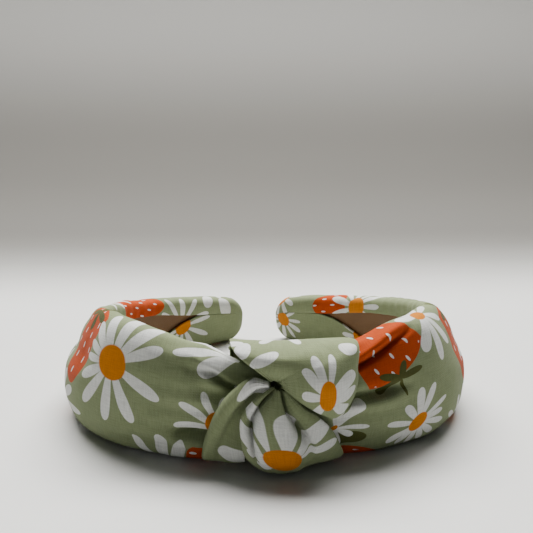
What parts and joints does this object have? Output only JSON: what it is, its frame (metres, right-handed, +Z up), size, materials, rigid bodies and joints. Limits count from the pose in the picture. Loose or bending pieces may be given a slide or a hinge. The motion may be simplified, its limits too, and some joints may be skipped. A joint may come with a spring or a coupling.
{
  "type": "knotted headband",
  "caption": "Padded cloth headband on a springy plastic band, with a knot of the same printed cotton at the crown and a tan lining inside.",
  "frame": {"origin": "on the table, under the middle of the whole headband", "axes": "+X across the headband to its right arm, +Y from the knot to the tips, +Z up from the lower rim to the upper rim"},
  "size_m": [0.1472, 0.132, 0.0419],
  "materials": {
    "printed_cotton": "matt woven cotton, sage green with a printed flower and berry pattern",
    "lining_ribbon": "tan woven ribbon",
    "band_plastic": "moulded, ivory",
    "wadding_foam": "soft white foam"
  },
  "bodies": {
    "crown": {"band_core_front": "band_plastic", "lining_front": "lining_ribbon", "wadding_front": "wadding_foam", "cover_left_front": "printed_cotton", "cover_right_front": "printed_cotton", "knot_top_lobe": "printed_cotton", "knot_left_flap": "printed_cotton", "knot_pouch": "printed_cotton", "knot_right_flap": "printed_cotton", "knot_back_band": "printed_cotton"},
    "left_arm": {"band_core_left_arm": "band_plastic", "lining_left_arm": "lining_ribbon", "wadding_left_arm": "wadding_foam", "cover_left_arm": "printed_cotton", "end_wrap_left": "printed_cotton"},
    "right_arm": {"band_core_right_arm": "band_plastic", "lining_right_arm": "lining_ribbon", "wadding_right_arm": "wadding_foam", "cover_right_arm": "printed_cotton", "end_wrap_right": "printed_cotton"}
  },
  "joints": [
    {"name": "left_arm_flex", "type": "hinge", "parent": "crown", "child": "left_arm", "pos_m": [-0.0386, -0.05512, 0.02], "axis": [0, 0, 1], "range_deg": [-3, 14], "stiffness_Nm_per_rad": 1},
    {"name": "right_arm_flex", "type": "hinge", "parent": "crown", "child": "right_arm", "pos_m": [0.0386, -0.05512, 0.02], "axis": [0, 0, -1], "range_deg": [-3, 14], "stiffness_Nm_per_rad": 1}
  ]
}
